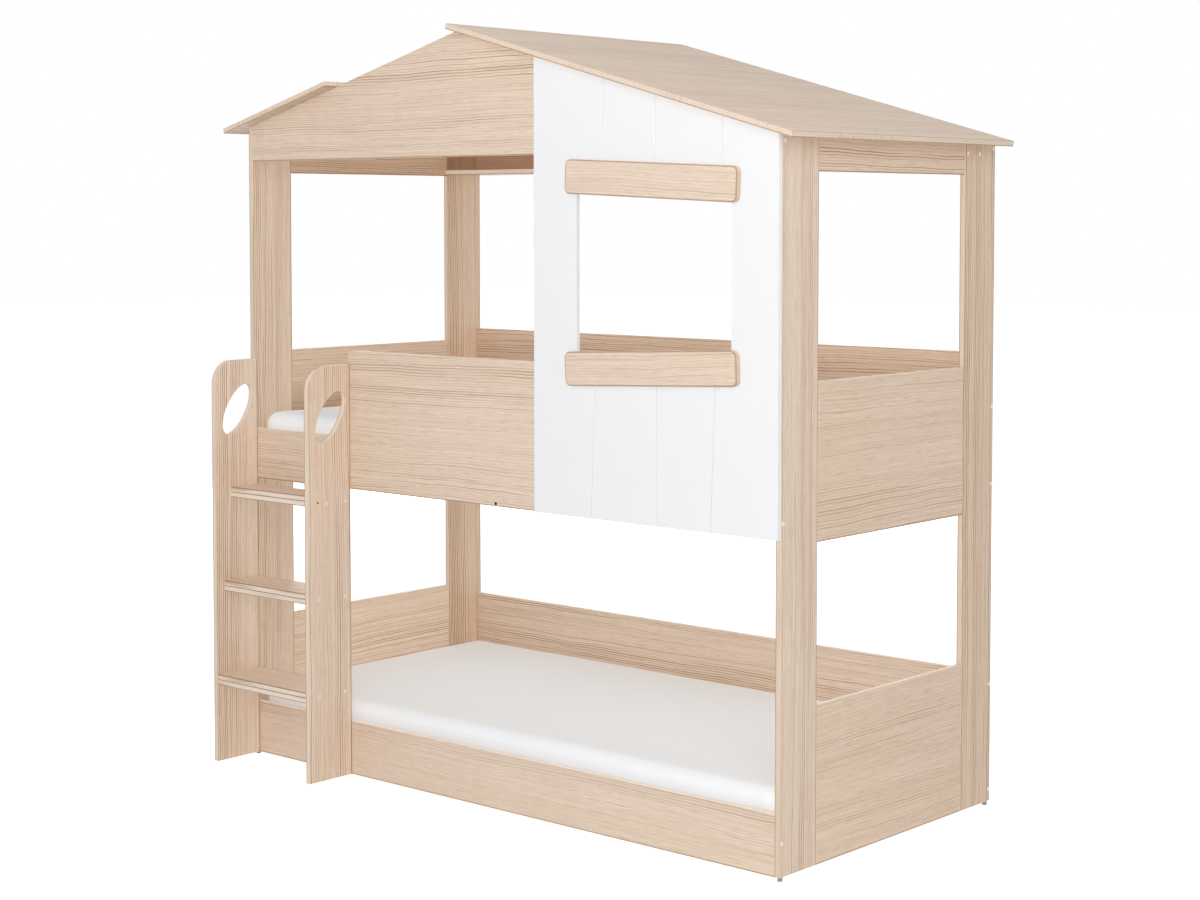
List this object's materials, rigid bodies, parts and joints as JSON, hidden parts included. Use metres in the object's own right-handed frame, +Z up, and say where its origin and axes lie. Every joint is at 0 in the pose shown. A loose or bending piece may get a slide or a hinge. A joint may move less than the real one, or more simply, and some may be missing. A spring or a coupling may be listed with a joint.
{
  "type": "house bunk bed",
  "caption": "House-shaped bunk bed of flat oak-look boards with a white window front, an off-centre pitched roof, a step ladder and loose mattresses.",
  "frame": {"origin": "middle of the footprint, ladder and eaves included, on the floor", "axes": "+X from the ladder end towards the window end, +Y from the ladder side towards the wall side, +Z up"},
  "size_m": [2.0774, 1.1082, 2.1114],
  "materials": {
    "oak_board": "matte light oak foil with fine straight grain",
    "white_board": "matte white lacquer with milled lines",
    "raw_pine": "raw planed pine",
    "white_sheeting": "white cotton cover",
    "grey_plastic": "matte grey moulded plastic"
  },
  "bodies": {
    "frame": {"back_gable": "oak_board", "back_guard": "oak_board", "back_shelf": "oak_board", "facade_panel": "white_board", "front_gable": "oak_board", "front_guard": "oak_board", "ladder_left_stile": "oak_board", "ladder_right_stile": "oak_board", "left_back_glide": "grey_plastic", "left_back_post": "oak_board", "left_front_glide": "grey_plastic", "left_front_post": "oak_board", "left_lower_panel": "oak_board", "left_roof_panel": "oak_board", "left_top_rail": "oak_board", "left_upper_guard": "oak_board", "lower_back_rail": "oak_board", "lower_back_slat_rail": "raw_pine", "lower_front_rail": "oak_board", "lower_front_slat_rail": "raw_pine", "lower_slat_01": "raw_pine", "lower_slat_02": "raw_pine", "lower_slat_03": "raw_pine", "lower_slat_04": "raw_pine", "lower_slat_05": "raw_pine", "lower_slat_06": "raw_pine", "lower_slat_07": "raw_pine", "lower_slat_08": "raw_pine", "lower_slat_09": "raw_pine", "lower_slat_10": "raw_pine", "lower_tread": "oak_board", "lower_tread_backer": "oak_board", "middle_tread": "oak_board", "middle_tread_backer": "oak_board", "right_back_glide": "grey_plastic", "right_back_post": "oak_board", "right_front_glide": "grey_plastic", "right_front_post": "oak_board", "right_lower_panel": "oak_board", "right_roof_panel": "oak_board", "right_top_rail": "oak_board", "right_upper_guard": "oak_board", "upper_back_slat_rail": "raw_pine", "upper_front_slat_rail": "raw_pine", "upper_slat_01": "raw_pine", "upper_slat_02": "raw_pine", "upper_slat_03": "raw_pine", "upper_slat_04": "raw_pine", "upper_slat_05": "raw_pine", "upper_slat_06": "raw_pine", "upper_slat_07": "raw_pine", "upper_slat_08": "raw_pine", "upper_slat_09": "raw_pine", "upper_slat_10": "raw_pine", "upper_tread": "oak_board", "upper_tread_backer": "oak_board", "window_lintel_trim": "oak_board", "window_sill_trim": "oak_board"},
    "upper_mattress": {"upper_mattress": "white_sheeting"},
    "lower_mattress": {"lower_mattress": "white_sheeting"}
  },
  "joints": [
    {"name": "upper_mattress_lift", "type": "slide", "parent": "frame", "child": "upper_mattress", "axis": [0, 0, 1], "range_m": [0, 0.36]},
    {"name": "lower_mattress_lift", "type": "slide", "parent": "frame", "child": "lower_mattress", "axis": [0, 0, 1], "range_m": [0, 0.12]}
  ]
}
